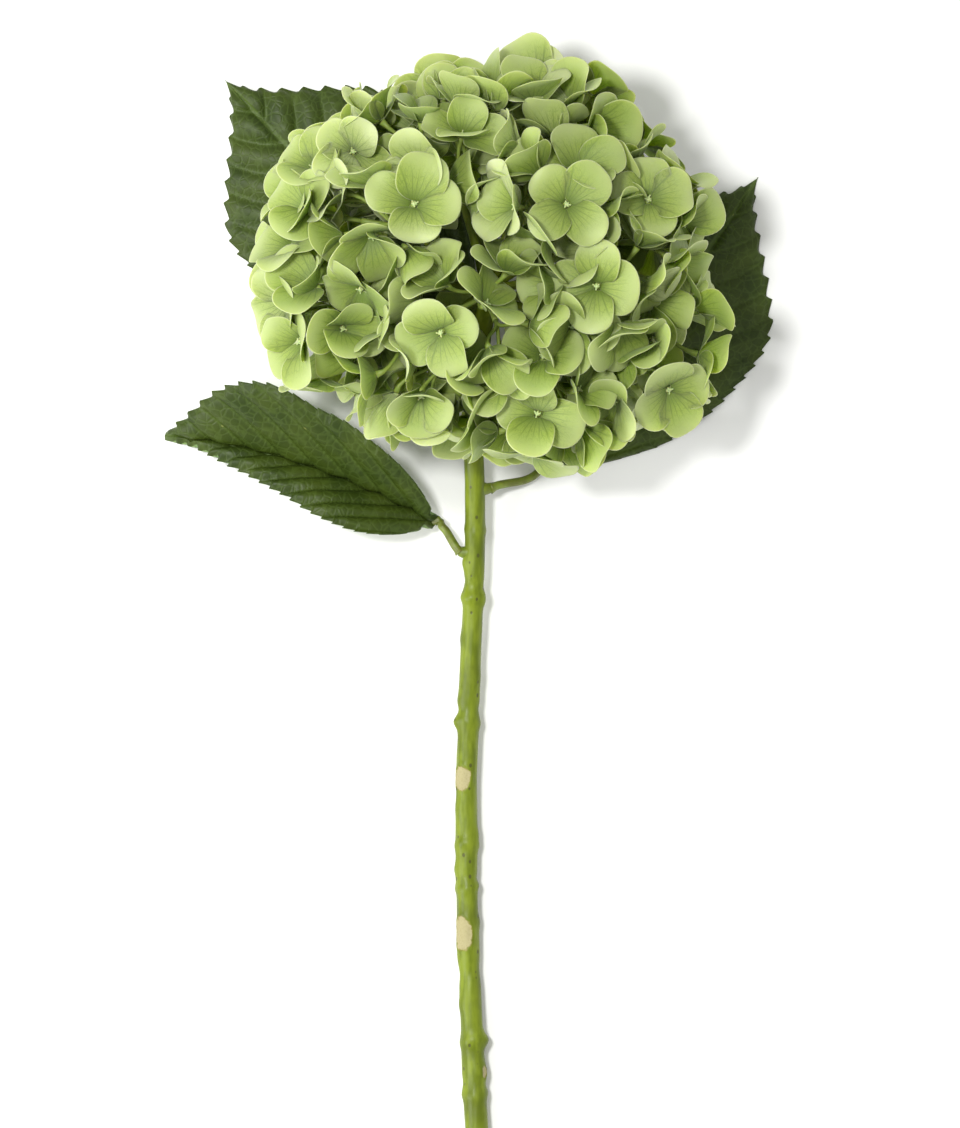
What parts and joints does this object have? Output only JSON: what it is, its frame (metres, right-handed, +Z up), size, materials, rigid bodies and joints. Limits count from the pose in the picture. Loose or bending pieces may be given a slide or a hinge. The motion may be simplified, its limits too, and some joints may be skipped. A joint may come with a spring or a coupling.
{
  "type": "cut hydrangea",
  "caption": "Cut mophead hydrangea lying down: a round pale green head of small four-sepalled florets on a ringed green stem with broad toothed leaves.",
  "frame": {"origin": "on the surface the plant lies on, under the middle of its bounding box", "axes": "+Y along the stem from the cut end to the head, +X to the right seen from above with the head away from the viewer, +Z up from the surface"},
  "size_m": [0.2258, 0.428, 0.1086],
  "materials": {
    "stem": "semi-gloss yellow-green coated stem with fine dark flecks and cream leaf scars",
    "leaf": "dark green, softly creased with raised veins and a low satin sheen",
    "floret": "soft pale yellow-green sepals with thin cream rims and finely radiating veins"
  },
  "bodies": {
    "root": {"stem": "stem", "leaf_lower_left": "leaf", "leaf_back_left": "leaf", "leaf_right": "leaf", "cyme_01_a": "floret", "cyme_01_b": "floret", "cyme_01_c": "floret", "cyme_02_a": "floret", "cyme_02_b": "floret", "cyme_02_c": "floret", "cyme_03_a": "floret", "cyme_03_b": "floret", "cyme_03_c": "floret", "cyme_04_a": "floret", "cyme_04_b": "floret", "cyme_04_c": "floret", "cyme_05_a": "floret", "cyme_05_b": "floret", "cyme_05_c": "floret", "cyme_06_a": "floret", "cyme_06_b": "floret", "cyme_06_c": "floret", "cyme_07_a": "floret", "cyme_07_b": "floret", "cyme_07_c": "floret", "cyme_08_a": "floret", "cyme_08_b": "floret", "cyme_08_c": "floret", "cyme_09_a": "floret", "cyme_09_b": "floret", "cyme_09_c": "floret", "cyme_10_a": "floret", "cyme_10_b": "floret", "cyme_10_c": "floret", "cyme_11_a": "floret", "cyme_11_b": "floret", "cyme_11_c": "floret", "cyme_12_a": "floret", "cyme_12_b": "floret", "cyme_12_c": "floret", "cyme_13_a": "floret", "cyme_13_b": "floret", "cyme_13_c": "floret", "cyme_14_a": "floret", "cyme_14_b": "floret", "cyme_14_c": "floret", "cyme_15_a": "floret", "cyme_15_b": "floret", "cyme_15_c": "floret", "cyme_16_a": "floret", "cyme_16_b": "floret", "cyme_16_c": "floret", "cyme_17_a": "floret", "cyme_17_b": "floret", "cyme_17_c": "floret"}
  },
  "joints": []
}
